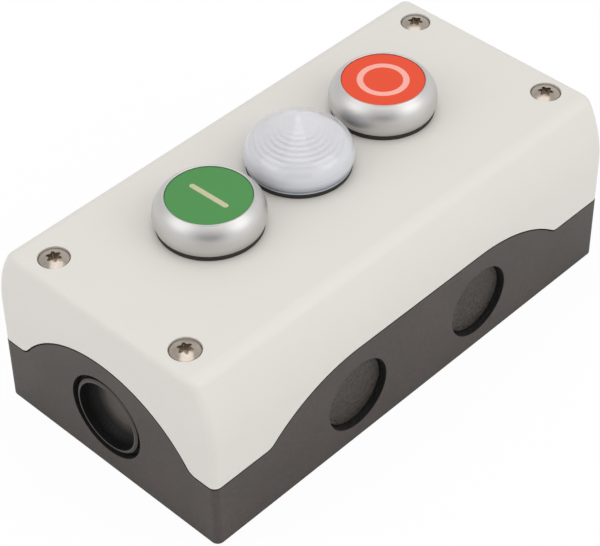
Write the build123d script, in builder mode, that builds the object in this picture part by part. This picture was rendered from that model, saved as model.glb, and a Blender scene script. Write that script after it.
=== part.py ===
"""Pushbutton control station: start button, signal lamp and stop button in a two-part enclosure.

Frame: millimetres, +Z out of the wall, the origin at the middle of the case's rear face.
X runs along the enclosure, from the start button (-X) to the stop button (+X).
"""

import os
from math import cos, radians, sin, sqrt, tau

from build123d import *

# Enclosure
length = 153.0
width = 80.0
corner_radius = 2.0
wall = 2.8
floor = 3.0
rear_chamfer = 0.5
inner_corner_radius = 0.6
beyond = 5.0

# Wavy joint between the case and the cover, by its middle line
parting_z = 21.0
seam = 0.45
long_crest_z = 33.3
long_crest_half = 24.3
long_foot_x = 56.5
end_crest_z = 37.8
end_foot_y = 31.2
arch_foot_radius = 4.0
gasket_inset = 0.9
gasket_width = 1.2
groove_depth = 1.0

# Cover section: upright flank, round shoulder, flat top
cover_z = 54.7
shoulder_z = 34.5
shoulder_radius = 36.5
crease_radius = 4.0
end_edge_radius = 2.2

# Cover screws
screw_x = 69.0
screw_y = 24.0
screw_recess_radius = 4.3
screw_recess_depth = 1.6
screw_recess_chamfer = 0.15
screw_boss_radius = 5.3
screw_post_radius = 5.0
screw_radius = 2.0
screw_bore_radius = 2.05
screw_clear_radius = 2.3
screw_head_radius = 4.05
screw_head_height = 2.4
screw_rim_height = 1.4
screw_tip_z = 8.0
screw_tip_room = 1.0
socket_depth = 1.7
socket_radius = 2.1
socket_sides = 6

# Cable entries
knockout_x = 24.2
knockout_z = 16.2
knockout_radius = 10.95
knockout_depth = 2.0
knockout_pad_radius = 13.0
knockout_pad = 1.6
knockout_groove = 0.7
entry_z = 19.0
entry_radius = 12.75
plug_clearance = 0.05
plug_lip_radius = 11.4
plug_mouth_radius = 10.15
plug_sink = 0.05
plug_lip_sink = 0.55
plug_crown_radius = 10.4
plug_flange_sink = 2.1
plug_cup_depth = 5.6
plug_length = 7.4
plug_bead_radius = 13.2
plug_mouth_chamfer = 0.2
plug_floor_round = 3.6
plug_lead_in = 1.6

# Wall fixing
fixing_x = 58.0
fixing_y = 30.0
fixing_radius = 2.4
fixing_boss_radius = 5.0
fixing_boss_height = 2.0

# Row of heads
row_y = 4.15
pitch = 33.0
start_x = -pitch
lamp_x = 0.0
stop_x = pitch
panel_z = cover_z - wall
panel_hole_radius = 11.2
seal_height = 1.45
seal_radius = 14.3
seal_chamfer = 0.35
head_z = cover_z + seal_height

# Head: bezel, cap, collar, slider
bezel_foot_radius = 14.35
bezel_radius = 14.95
bezel_belly_z = 58.9
bezel_rim_z = 64.7
bezel_rim_radius = 12.15
bezel_bore_radius = 11.6
bezel_rim_chamfer = 0.2
cap_chamfer = 0.25
cap_radius = 11.4
cap_z = 64.4
cap_thickness = 1.8
inlay_depth = 0.4
bar_length = 13.3
bar_width = 1.6
bar_direction = 92.0
ring_radius = 7.2
ring_inner_radius = 5.4
travel = 5.0
cup_radius = 13.4
cup_bore_radius = 11.9
cup_z = 62.0
cup_floor_z = 57.3
barrel_radius = 11.1
barrel_foot_z = 40.0
barrel_chamfer = 0.6
guide_radius = 8.6
guide_foot_z = 54.9
chamber_radius = 9.6
slider_radius = 8.5
slider_flange_radius = 9.3
slider_flange_z = 54.7
slider_flange_height = 2.0
stem_radius = 5.5
stem_foot_z = 36.0
stem_bore_radius = 3.9
stem_chamfer = 0.5
slider_roof = 2.0
slider_foot = 1.6
retainer_height = 2.0
retainer_radius = 9.55
running_gap = 0.1
nut_radius = 13.8
nut_height = 4.5
nut_notches = 8
nut_notch_radius = 1.3

# Lamp head
lens_radius = 14.9
lens_foot_radius = 14.0
lens_belly_z = 58.7
lens_shoulder_radius = 7.5
lens_slope = 31.6
lens_tip_radius = 3.0
lens_lip = 0.4
lens_lip_width = 0.3
lens_skirt_z = 59.3
lens_skirt_bore = 13.4
lens_bore_radius = 12.9
lens_steps = 7
lens_wall = 1.6
lamp_flange_radius = 13.3
lamp_flange_z = 59.1
lamp_neck_radius = 12.7
lamp_neck_z = 61.2

# Contact and lamp elements
block_width = 12.0
block_length = 38.0
block_foot_height = 3.8
block_foot_step = 1.0
block_z = 27.0
lid_thickness = 2.0
lid_rim = 0.8
chamber_width = 7.4
chamber_length = 19.2
chamber_floor_z = 4.4
pocket_inner = 11.0
pocket_floor_z = 18.9
terminal_y = 13.9
strip_width = 5.0
strip_thickness = 0.8
terminal_z = 20.0
strip_tip = 6.0
strip_end = 17.0
rivet_y = 7.4
rivet_radius = 1.2
rivet_height = 0.4
terminal_screw_radius = 1.6
terminal_bore_radius = 1.65
terminal_head_radius = 2.7
terminal_head_height = 2.0
terminal_head_z = 24.6
terminal_slot = 0.9
terminal_tip_z = 15.4
terminal_tip_bore = 1.8
terminal_tip_room = 0.4
strip_room = 0.2
driver_hole_radius = 2.9
clamp_thickness = 0.9
clamp_size = 5.4
wire_window_width = 5.0
wire_window_foot_z = 20.0

# Contact plunger and bridge
plunger_z = 35.8
plunger_radius = 2.3
plunger_chamfer = 0.4
pressed_spring_room = 2.3
carrier_foot_z = chamber_floor_z + pressed_spring_room + travel
carrier_head_z = 23.0
carrier_width = 7.2
carrier_depth = 4.8
window_width = 4.8
bridge_width = 4.4
bridge_length = 17.6
bridge_thickness = 0.6
bridge_corner_radius = 0.8
bridge_rivet = 0.3
contact_gap = 0.05
closing_window = (13.95, 21.5)
closing_bridge_z = 14.0
closing_travel = 2.2
opening_window = (13.2, 19.5)
opening_bridge_z = 17.85

# Lamp element
board_width = 6.8
board_length = 18.6
board_thickness = 1.2
board_z = 21.2
led_radius = 2.5
led_flange_radius = 2.9
led_flange_height = 1.0
led_z = 33.0

# Snap hooks that hold the elements on the case floor
hook_width = 7.0
hook_thickness = 2.0
hook_gap = 0.15
hook_nose = 0.9
hook_nose_height = 1.0
hook_z = 10.0

# Springs: wire radius, mean radius, turns
return_wire, return_coil, return_turns = 0.45, 7.6, 4.5
plunger_wire, plunger_coil, plunger_turns = 0.2, 1.9, 4.5
bridge_wire, bridge_coil, bridge_turns = 0.2, 1.5, 4.0
spring_gap = 0.05
runs_per_turn = 12
wire_sides = 6

os.makedirs("parts", exist_ok=True)


def keep(piece, name):
    """Name a finished piece and write it as its own file."""
    piece.part.label = name
    export_step(piece.part, f"parts/{name}.step")


def level(x, y, z):
    """Horizontal sketch plane with its origin over x, y at height z."""
    return Plane(origin=(x, y, z))


def upright(x, y):
    """Section plane of a turned piece that stands at x, y: local x is its radius, local y its height."""
    return Plane(origin=(x, y, 0), x_dir=(1, 0, 0), z_dir=(0, -1, 0))


def side_view(x, y):
    """Section plane across the row at x: local x runs along Y from y, local y is height."""
    return Plane(origin=(x, y, 0), x_dir=(0, 1, 0), z_dir=(1, 0, 0))


def stand(x, y):
    """Upright axis through x, y."""
    return Axis((x, y, 0), (0, 0, 1))


# Shapes that the case and the cover share

def arched_section(crest_half, crest_z, foot_x, reach, lift):
    """Section of a wall under the joint's middle line, grown by lift: a layer with an arch in it.

    The arch falls in an arc from its straight crest, crest_half long each way, to its rounded foot.
    """
    crest, foot = (crest_half, crest_z), (foot_x, parting_z)
    corners = [foot, (reach, parting_z), (reach, 0), (0, 0), (0, crest_z)]
    if crest_half > 0:
        corners.append(crest)
    with BuildSketch() as section:
        with BuildLine():
            TangentArc(crest, foot, tangent=(1, 0))
            Polyline(*corners)
        make_face()
        fillet(section.vertices().sort_by_distance(foot)[:1], arch_foot_radius)
        mirror(about=Plane.YZ)
        offset(amount=lift)
    return section.sketch


def below_parting(lift):
    """Everything under the wavy joint, its surface moved out from the middle line by lift."""
    depth = wall + seam
    with BuildPart() as below:
        with BuildSketch(Plane.XY):
            Rectangle(length + 2 * beyond, width + 2 * beyond)
        extrude(amount=parting_z + lift)
        with BuildSketch(Plane.XZ.offset(-width / 2 - beyond)):
            add(arched_section(long_crest_half, long_crest_z, long_foot_x, length, lift))
        extrude(amount=depth + beyond)
        mirror(about=Plane.XZ)
        with BuildSketch(Plane.YZ.offset(length / 2 - depth)):
            add(arched_section(0, end_crest_z, end_foot_y, width, lift))
        extrude(amount=depth + beyond)
        mirror(about=Plane.YZ)
    return below.part


def upright_prism(inset, foot, top):
    """Rounded rectangle of the enclosure's outline, drawn in by inset, from height foot to top."""
    with BuildPart() as prism:
        with BuildSketch(Plane.XY.offset(foot)):
            corner = max(corner_radius - inset, inner_corner_radius)
            RectangleRounded(length - 2 * inset, width - 2 * inset, corner)
        extrude(amount=top - foot)
    return prism.part


def cover_form(inset):
    """Solid of the cover's outer form, drawn in by inset: one section along X, with rounded ends."""
    flank = width / 2 - inset
    top = cover_z - inset
    radius = shoulder_radius - inset
    centre_y = width / 2 - shoulder_radius
    shoulder_y = centre_y + sqrt(radius**2 - (top - shoulder_z) ** 2)
    with BuildPart() as form:
        with BuildSketch(Plane.YZ):
            with BuildLine():
                Line((0, 0), (flank, 0))
                Line((flank, 0), (flank, shoulder_z))
                TangentArc((flank, shoulder_z), (shoulder_y, top), tangent=(0, 1))
                Line((shoulder_y, top), (0, top))
                Line((0, top), (0, 0))
            make_face()
            mirror(about=Plane.YZ)
        extrude(amount=length / 2 - inset, both=True)
        creases = form.edges().filter_by(Axis.X).group_by(Axis.Z)[-1]
        fillet(creases, crease_radius - inset)
        if inset == 0:
            ends = form.faces().filter_by(Axis.X)
            rims = ends.edges().filter_by(lambda edge: edge.center().Z > 0)
            fillet(rims, end_edge_radius)
    return form.part


def gasket_channel():
    """Upright band that the gasket runs in, round the whole rim."""
    outer = upright_prism(gasket_inset, parting_z - 2 * groove_depth, cover_z)
    inner = upright_prism(gasket_inset + gasket_width, 0, cover_z + beyond)
    return outer - inner


under_case_rim = below_parting(-seam / 2)
under_cover_edge = below_parting(seam / 2)
under_groove = below_parting(-seam / 2 - groove_depth)
channel = gasket_channel()
screw_places = [(x, y) for x in (-screw_x, screw_x) for y in (-screw_y, screw_y)]


# Lower case

def build_lower_case():
    """Moulded case: wavy rim, gasket groove, knockouts, entries, screw posts and snap hooks."""
    foot_top = floor + block_foot_height
    with BuildPart() as case:
        # shell, cut off at the wavy joint, with the gasket's groove in its rim
        add(upright_prism(0, 0, cover_z))
        chamfer(case.faces().sort_by(Axis.Z)[0].edges(), rear_chamfer)
        add(upright_prism(wall, floor, cover_z + beyond), mode=Mode.SUBTRACT)
        add(under_case_rim, mode=Mode.INTERSECT)
        add(channel - under_groove, mode=Mode.SUBTRACT)

        # post under each cover screw, bored to take its thread
        with BuildSketch(Plane.XY.offset(floor)):
            with Locations(*screw_places):
                Circle(screw_post_radius)
        extrude(amount=parting_z - seam - floor)
        with BuildSketch(Plane.XY.offset(screw_tip_z - screw_tip_room)):
            with Locations(*screw_places):
                Circle(screw_bore_radius)
        extrude(amount=parting_z, mode=Mode.SUBTRACT)

        # four holes for the wall screws, each with a raised pad inside
        with BuildSketch(Plane.XY.offset(floor)):
            with GridLocations(2 * fixing_x, 2 * fixing_y, 2, 2):
                Circle(fixing_boss_radius)
        extrude(amount=fixing_boss_height)
        with BuildSketch(Plane.XY):
            with GridLocations(2 * fixing_x, 2 * fixing_y, 2, 2):
                Circle(fixing_radius)
        extrude(amount=floor + fixing_boss_height, mode=Mode.SUBTRACT)

        # knockouts of the long walls: a pad inside, a recess outside with a weak line round it
        for side in (-1, 1):
            outside = Plane(
                origin=(0, side * width / 2, knockout_z), x_dir=(side, 0, 0), z_dir=(0, -side, 0)
            )
            with BuildSketch(outside.offset(wall)):
                with GridLocations(2 * knockout_x, 1, 2, 1):
                    Circle(knockout_pad_radius)
            extrude(amount=knockout_pad)
            with BuildSketch(outside):
                with GridLocations(2 * knockout_x, 1, 2, 1):
                    Circle(knockout_radius)
            extrude(amount=knockout_depth, mode=Mode.SUBTRACT)
            with BuildSketch(outside.offset(knockout_depth)):
                with GridLocations(2 * knockout_x, 1, 2, 1):
                    Circle(knockout_radius)
                    Circle(knockout_radius - knockout_groove, mode=Mode.SUBTRACT)
            extrude(amount=knockout_groove, mode=Mode.SUBTRACT)

        # open cable entry through each end wall
        with BuildSketch(Plane.YZ.offset(-length / 2)):
            with Locations((0, entry_z)):
                Circle(entry_radius)
        extrude(amount=length, mode=Mode.SUBTRACT)

        # snap hooks over the feet of the elements: a post with a nose
        for x in (start_x, lamp_x, stop_x):
            for side in (-1, 1):
                face = side * (block_length / 2 + hook_gap)
                nose = face - side * hook_nose
                back = face + side * hook_thickness
                with BuildSketch(side_view(x - hook_width / 2, row_y)):
                    with BuildLine():
                        Polyline(
                            (face, floor),
                            (face, foot_top + hook_gap),
                            (nose, foot_top + hook_gap),
                            (nose, foot_top + hook_nose_height),
                            (face, hook_z),
                            (back, hook_z),
                            (back, floor),
                            close=True,
                        )
                    make_face()
                extrude(amount=hook_width)
    keep(case, "lower_case")


# Cover, gasket and screws

def build_top_cover():
    """Moulded cover: crowned shell, screw bosses with sunk recesses, three head holes."""
    with BuildPart() as cover:
        add(cover_form(0))
        add(cover_form(wall), mode=Mode.SUBTRACT)
        with BuildSketch(Plane.XY.offset(parting_z)):
            with Locations(*screw_places):
                Circle(screw_boss_radius)
        extrude(amount=panel_z - parting_z)
        add(under_cover_edge, mode=Mode.SUBTRACT)
        with BuildSketch(Plane.XY.offset(cover_z)):
            with Locations(*screw_places):
                Circle(screw_recess_radius)
        extrude(amount=-screw_recess_depth, mode=Mode.SUBTRACT)
        recess_rims = cover.edges().filter_by(GeomType.CIRCLE).group_by(Axis.Z)[-1]
        chamfer(recess_rims, screw_recess_chamfer)
        with BuildSketch(Plane.XY.offset(cover_z)):
            with Locations(*screw_places):
                Circle(screw_clear_radius)
        extrude(amount=-cover_z, mode=Mode.SUBTRACT)
        with BuildSketch(Plane.XY.offset(cover_z)):
            with Locations((0, row_y)):
                with GridLocations(pitch, 1, 3, 1):
                    Circle(panel_hole_radius)
        extrude(amount=-2 * wall, mode=Mode.SUBTRACT)
    keep(cover, "top_cover")


def build_cover_gasket():
    """Rubber strip in the groove of the wavy rim; the cover's edge rests on it."""
    with BuildPart() as gasket:
        add(channel)
        add(under_groove, mode=Mode.SUBTRACT)
        add(under_cover_edge, mode=Mode.INTERSECT)
    keep(gasket, "cover_gasket")


def build_cover_screws():
    """Four long screws with domed heads and six-sided sockets."""
    seat = cover_z - screw_recess_depth
    with BuildPart() as screws:
        for x, y in screw_places:
            with BuildSketch(upright(x, y)):
                with BuildLine():
                    Polyline((0, seat + screw_head_height), (0, screw_tip_z), (screw_radius, screw_tip_z))
                    Polyline((screw_radius, screw_tip_z), (screw_radius, seat), (screw_head_radius, seat))
                    Line((screw_head_radius, seat), (screw_head_radius, seat + screw_rim_height))
                    TangentArc(
                        (0, seat + screw_head_height),
                        (screw_head_radius, seat + screw_rim_height),
                        tangent=(1, 0),
                    )
                make_face()
            revolve(axis=stand(x, y))
            with BuildSketch(level(x, y, seat + screw_head_height)):
                RegularPolygon(socket_radius, socket_sides)
            extrude(amount=-socket_depth, mode=Mode.SUBTRACT)
    keep(screws, "cover_screws")


def build_entry_plug(name, side):
    """Push-in plug of an end entry: a cup with a sloping lip and a round floor, and a snap bead."""
    depth_plane = Plane(
        origin=(side * length / 2, 0, entry_z), x_dir=(0, 1, 0), z_dir=(0, 0, -side)
    )
    body_radius = entry_radius - plug_clearance
    bead_depth = (wall + plug_length - plug_lead_in) / 2
    round_end = (plug_mouth_radius - plug_floor_round, -plug_cup_depth)
    with BuildPart() as plug:
        with BuildSketch(depth_plane):
            with BuildLine():
                Polyline(
                    (0, -plug_cup_depth),
                    (0, -plug_length),
                    (body_radius - plug_lead_in / 2, -plug_length),
                    (body_radius, -plug_length + plug_lead_in),
                    (plug_bead_radius, -bead_depth),
                    (body_radius, -wall - running_gap),
                    (body_radius, -plug_flange_sink),
                    (plug_lip_radius, -plug_flange_sink),
                    (plug_lip_radius, -plug_lip_sink),
                    (plug_crown_radius, -plug_sink),
                    (plug_mouth_radius, -plug_sink - plug_mouth_chamfer),
                    (plug_mouth_radius, -plug_cup_depth + plug_floor_round),
                )
                TangentArc(
                    (plug_mouth_radius, -plug_cup_depth + plug_floor_round), round_end, tangent=(0, -1)
                )
                Line(round_end, (0, -plug_cup_depth))
            make_face()
        revolve(axis=Axis((0, 0, entry_z), (1, 0, 0)))
    keep(plug, name)


# Heads

def build_seal(name, x):
    """Flat rubber ring between the cover and the head."""
    with BuildPart() as seal:
        with BuildSketch(level(x, row_y, cover_z)):
            Circle(seal_radius)
            Circle(panel_hole_radius, mode=Mode.SUBTRACT)
        extrude(amount=seal_height)
        outer_rims = seal.edges().filter_by(GeomType.CIRCLE).group_by(SortBy.RADIUS)[-1]
        chamfer(outer_rims, seal_chamfer)
    keep(seal, name)


def build_bezel(name, x):
    """Spun metal ring: bellied outside, thin rim at the cap, stepped bore that sits on the collar."""
    belly = (bezel_radius, bezel_belly_z)
    rim_low = bezel_rim_z - bezel_rim_chamfer
    with BuildPart() as bezel:
        with BuildSketch(upright(x, row_y)):
            with BuildLine():
                TangentArc(belly, (bezel_foot_radius, head_z), tangent=(0, -1))
                TangentArc(belly, (bezel_rim_radius, rim_low), tangent=(0, 1))
                Polyline(
                    (bezel_rim_radius, rim_low),
                    (bezel_rim_radius - bezel_rim_chamfer, bezel_rim_z),
                    (bezel_bore_radius, bezel_rim_z),
                    (bezel_bore_radius, cup_z + running_gap),
                    (cup_radius + plug_clearance, cup_z + running_gap),
                    (cup_radius + plug_clearance, head_z),
                    (bezel_foot_radius, head_z),
                )
            make_face()
        revolve(axis=stand(x, row_y))
    keep(bezel, name)


def build_cap(name, symbol_name, x, symbol):
    """Flush button cap, with its symbol moulded in a second colour as a separate inlay."""
    with BuildPart() as inlay:
        with BuildSketch(level(x, row_y, cap_z - inlay_depth)):
            symbol()
        extrude(amount=inlay_depth)
    with BuildPart() as cap:
        with BuildSketch(level(x, row_y, cap_z - cap_thickness)):
            Circle(cap_radius)
        extrude(amount=cap_thickness)
        chamfer(cap.faces().sort_by(Axis.Z)[-1].edges(), cap_chamfer)
        add(inlay.part, mode=Mode.SUBTRACT)
    keep(cap, name)
    keep(inlay, symbol_name)


def start_bar():
    """Bar of the start symbol, with rounded ends."""
    SlotOverall(bar_length, bar_width, rotation=bar_direction)


def stop_ring():
    """Ring of the stop symbol."""
    Circle(ring_radius)
    Circle(ring_inner_radius, mode=Mode.SUBTRACT)


def build_collar(name, x):
    """Moulded collar: cup for the cap, barrel through the cover, guide bore and spring chamber."""
    with BuildPart() as collar:
        with BuildSketch(upright(x, row_y)):
            with BuildLine():
                Polyline(
                    (guide_radius, cup_floor_z),
                    (cup_bore_radius, cup_floor_z),
                    (cup_bore_radius, cup_z),
                    (cup_radius, cup_z),
                    (cup_radius, head_z),
                    (barrel_radius, head_z),
                    (barrel_radius, barrel_foot_z + barrel_chamfer),
                    (barrel_radius - barrel_chamfer, barrel_foot_z),
                    (chamber_radius, barrel_foot_z),
                    (chamber_radius, guide_foot_z),
                    (guide_radius, guide_foot_z),
                    close=True,
                )
            make_face()
        revolve(axis=stand(x, row_y))
    keep(collar, name)


def build_ring_nut(name, x):
    """Notched nut that draws the head down on the cover."""
    with BuildPart() as nut:
        with BuildSketch(level(x, row_y, panel_z)):
            Circle(nut_radius)
            Circle(barrel_radius + plug_clearance, mode=Mode.SUBTRACT)
            with PolarLocations(nut_radius, nut_notches):
                Circle(nut_notch_radius, mode=Mode.SUBTRACT)
        extrude(amount=-nut_height)
    keep(nut, name)


def build_slider(name, x):
    """Hollow slider under the cap: guide drum, stop flange, and the stem that works the contact."""
    flange_foot = slider_flange_z - slider_flange_height
    top = cap_z - cap_thickness
    with BuildPart() as slider:
        with BuildSketch(upright(x, row_y)):
            with BuildLine():
                Polyline(
                    (0, top),
                    (slider_radius, top),
                    (slider_radius, slider_flange_z),
                    (slider_flange_radius, slider_flange_z),
                    (slider_flange_radius, flange_foot),
                    (stem_radius, flange_foot),
                    (stem_radius, stem_foot_z + stem_chamfer),
                    (stem_radius - stem_chamfer, stem_foot_z),
                    (0, stem_foot_z),
                    (0, stem_foot_z + slider_foot),
                    (stem_bore_radius, stem_foot_z + slider_foot),
                    (stem_bore_radius, top - slider_roof),
                    (0, top - slider_roof),
                    close=True,
                )
            make_face()
        revolve(axis=stand(x, row_y))
    keep(slider, name)


def build_retainer(name, x):
    """Ring snapped into the foot of the barrel: seat of the return spring and guide of the stem."""
    with BuildPart() as retainer:
        with BuildSketch(level(x, row_y, barrel_foot_z)):
            Circle(retainer_radius)
            Circle(stem_radius + running_gap, mode=Mode.SUBTRACT)
        extrude(amount=retainer_height)
    keep(retainer, name)


def build_spring(name, x, foot, top, wire, coil, turns):
    """Open coil spring between two seats at heights foot and top.

    The coil is a helix in short straight runs, and the wire six-sided, to keep its facets few.
    """
    low = foot + wire + spring_gap
    height = top - foot - 2 * (wire + spring_gap)
    runs = round(turns * runs_per_turn)
    corners = []
    for run in range(runs + 1):
        angle = tau * run / runs_per_turn
        corners.append((x + coil * cos(angle), row_y + coil * sin(angle), low + height * run / runs))
    with BuildPart() as spring:
        with BuildLine() as path:
            Polyline(*corners)
        with BuildSketch(Plane(origin=path.line @ 0, z_dir=path.line % 0)):
            RegularPolygon(wire, wire_sides)
        sweep(transition=Transition.RIGHT)
    keep(spring, name)


# Lamp head

def lens_outline():
    """Outer half outline of the lens: belly, round shoulder, straight cone and round tip."""
    slope = radians(lens_slope)
    centre_r = lens_radius - lens_shoulder_radius
    shoulder = (
        centre_r + lens_shoulder_radius * sin(slope),
        lens_belly_z + lens_shoulder_radius * cos(slope),
    )
    tip_r = lens_tip_radius * sin(slope)
    tip_low = shoulder[1] + (shoulder[0] - tip_r) * sin(slope) / cos(slope)
    tip_z = tip_low + lens_tip_radius * (1 - cos(slope))
    TangentArc((lens_radius, lens_belly_z), (lens_foot_radius, head_z + lens_lip), tangent=(0, -1))
    TangentArc((lens_radius, lens_belly_z), shoulder, tangent=(0, 1))
    Line(shoulder, (tip_r, tip_low))
    TangentArc((0, tip_z), (tip_r, tip_low), tangent=(1, 0))
    return tip_z


def lens_skin_z(radius):
    """Height of the lens's outer skin at a radius, on its round shoulder or its straight cone."""
    slope = radians(lens_slope)
    centre_r = lens_radius - lens_shoulder_radius
    shoulder_r = centre_r + lens_shoulder_radius * sin(slope)
    on_shoulder = max(radius, shoulder_r) - centre_r
    arc_z = lens_belly_z + sqrt(lens_shoulder_radius**2 - on_shoulder**2)
    return arc_z + max(shoulder_r - radius, 0) * sin(slope) / cos(slope)


def build_lens():
    """Milky cone lens: a smooth outside, and rings inside that step up to the tip under the skin."""
    steps = [(lens_bore_radius, lens_skirt_z)]
    for ring in range(lens_steps, 0, -1):
        outer = lens_bore_radius * ring / lens_steps
        inner = lens_bore_radius * (ring - 1) / lens_steps
        tread = lens_skin_z(outer) - lens_wall
        steps += [(outer, tread), (inner, tread)]
    with BuildPart() as lens:
        with BuildSketch(upright(lamp_x, row_y)):
            with BuildLine():
                tip_z = lens_outline()
                Polyline(
                    (lens_foot_radius, head_z + lens_lip),
                    (lens_foot_radius + lens_lip_width, head_z + lens_lip),
                    (lens_foot_radius + lens_lip_width, head_z),
                    (lens_skirt_bore, head_z),
                    (lens_skirt_bore, lens_skirt_z),
                    *steps,
                    (0, tip_z),
                )
            make_face()
        revolve(axis=stand(lamp_x, row_y))
    keep(lens, "lamp_lens")


def build_lamp_body():
    """Moulded body of the lamp head: flange and neck for the lens, barrel through the cover."""
    with BuildPart() as body:
        with BuildSketch(upright(lamp_x, row_y)):
            with BuildLine():
                Polyline(
                    (guide_radius, lamp_neck_z),
                    (lamp_neck_radius, lamp_neck_z),
                    (lamp_neck_radius, lamp_flange_z),
                    (lamp_flange_radius, lamp_flange_z),
                    (lamp_flange_radius, head_z),
                    (barrel_radius, head_z),
                    (barrel_radius, barrel_foot_z + barrel_chamfer),
                    (barrel_radius - barrel_chamfer, barrel_foot_z),
                    (guide_radius, barrel_foot_z),
                    close=True,
                )
            make_face()
        revolve(axis=stand(lamp_x, row_y))
    keep(body, "lamp_body")


# Elements clipped to the case floor

def build_block_case(name, x, strip_z):
    """Element case: snap feet, working chamber, and an open pocket at each end for a terminal."""
    body_length = block_length - 2 * block_foot_step
    foot_top = floor + block_foot_height
    lid_seat = block_z - lid_thickness
    pocket_outer = body_length / 2 - lid_rim
    pocket_y = (pocket_inner + pocket_outer) / 2
    with BuildPart() as case:
        with BuildSketch(level(x, row_y, floor)):
            Rectangle(block_width, block_length)
        extrude(amount=block_foot_height)
        with BuildSketch(level(x, row_y, foot_top)):
            Rectangle(block_width, body_length)
        extrude(amount=block_z - foot_top)
        with BuildSketch(level(x, row_y, lid_seat)):
            Rectangle(block_width - 2 * lid_rim, body_length - 2 * lid_rim)
        extrude(amount=lid_thickness, mode=Mode.SUBTRACT)
        with BuildSketch(level(x, row_y, chamber_floor_z)):
            Rectangle(chamber_width, chamber_length)
        extrude(amount=lid_seat - chamber_floor_z, mode=Mode.SUBTRACT)
        with BuildSketch(level(x, row_y, pocket_floor_z)):
            with Locations((0, pocket_y), (0, -pocket_y)):
                Rectangle(chamber_width, pocket_outer - pocket_inner)
        extrude(amount=lid_seat - pocket_floor_z, mode=Mode.SUBTRACT)
        with BuildSketch(level(x, row_y, terminal_tip_z - terminal_tip_room)):
            with Locations((0, terminal_y), (0, -terminal_y)):
                Circle(terminal_tip_bore)
        extrude(amount=pocket_floor_z, mode=Mode.SUBTRACT)
        with BuildSketch(level(x, row_y, strip_z)):
            Rectangle(strip_width + 2 * strip_room, 2 * pocket_inner)
        extrude(amount=lid_seat - strip_z, mode=Mode.SUBTRACT)
        with BuildSketch(level(x, row_y, wire_window_foot_z)):
            Rectangle(wire_window_width, block_length)
        extrude(amount=lid_seat - wire_window_foot_z, mode=Mode.SUBTRACT)
    keep(case, name)


def build_block_lid(name, x, centre_radius):
    """Lid of an element, with driver holes over the terminals and a hole in the middle."""
    body_length = block_length - 2 * block_foot_step
    with BuildPart() as lid:
        with BuildSketch(level(x, row_y, block_z - lid_thickness)):
            Rectangle(
                block_width - 2 * lid_rim - running_gap, body_length - 2 * lid_rim - running_gap
            )
            Circle(centre_radius, mode=Mode.SUBTRACT)
            with Locations((0, terminal_y), (0, -terminal_y)):
                Circle(driver_hole_radius, mode=Mode.SUBTRACT)
        extrude(amount=lid_thickness)
    keep(lid, name)


def strip_bar(side, inner, outer, low, high):
    """Straight run of a strip in its side view, from inner to outer on one side of the row."""
    with Locations((side * (inner + outer) / 2, (low + high) / 2)):
        Rectangle(outer - inner, high - low)


def build_fixed_contacts(name, x, tip_z, rivet_up):
    """Two bent strips: terminal plate outside, and a silver rivet at the inner tip.

    tip_z is the face of the rivet; the rivet stands up from the strip or hangs down from it.
    """
    tip_top = tip_z - rivet_height if rivet_up else tip_z + rivet_height + strip_thickness
    leg = pocket_inner - strip_thickness
    with BuildPart() as contacts:
        for side in (-1, 1):
            with BuildSketch(side_view(x - strip_width / 2, row_y)):
                strip_bar(side, strip_tip, pocket_inner, tip_top - strip_thickness, tip_top)
                strip_bar(side, leg, pocket_inner, tip_top - strip_thickness, terminal_z)
                strip_bar(side, leg, strip_end, terminal_z - strip_thickness, terminal_z)
            extrude(amount=strip_width)
            with BuildSketch(level(x, row_y + side * rivet_y, tip_z)):
                Circle(rivet_radius)
            extrude(amount=-rivet_height if rivet_up else rivet_height)
            with BuildSketch(level(x, row_y + side * terminal_y, terminal_z)):
                Circle(terminal_bore_radius)
            extrude(amount=-strip_thickness, mode=Mode.SUBTRACT)
    keep(contacts, name)


def build_lamp_terminals():
    """Two strips of the lamp element: terminal plate outside, and a tab up to the board."""
    tab = board_length / 2 - strip_thickness
    with BuildPart() as terminals:
        for side in (-1, 1):
            with BuildSketch(side_view(lamp_x - strip_width / 2, row_y)):
                strip_bar(side, tab, tab + strip_thickness, terminal_z - strip_thickness, board_z)
                strip_bar(side, tab, strip_end, terminal_z - strip_thickness, terminal_z)
            extrude(amount=strip_width)
            with BuildSketch(level(lamp_x, row_y + side * terminal_y, terminal_z)):
                Circle(terminal_bore_radius)
            extrude(amount=-strip_thickness, mode=Mode.SUBTRACT)
    keep(terminals, "led_terminals")


def build_clamps(name, x):
    """Two wire clamps, one under each terminal screw's head."""
    with BuildPart() as clamps:
        for side in (-1, 1):
            with BuildSketch(level(x, row_y + side * terminal_y, terminal_head_z)):
                Rectangle(clamp_size, clamp_size)
                Circle(terminal_bore_radius, mode=Mode.SUBTRACT)
            extrude(amount=-clamp_thickness)
    keep(clamps, name)


def build_terminal_screws(name, x):
    """Two terminal screws with slotted heads."""
    with BuildPart() as screws:
        for side in (-1, 1):
            place = level(x, row_y + side * terminal_y, terminal_head_z)
            with BuildSketch(place):
                Circle(terminal_head_radius)
            extrude(amount=terminal_head_height)
            with BuildSketch(place):
                Circle(terminal_screw_radius)
            extrude(amount=terminal_tip_z - terminal_head_z)
            with BuildSketch(place.offset(terminal_head_height)):
                Rectangle(terminal_slot, 2 * terminal_head_radius)
            extrude(amount=-terminal_slot, mode=Mode.SUBTRACT)
    keep(screws, name)


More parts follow.
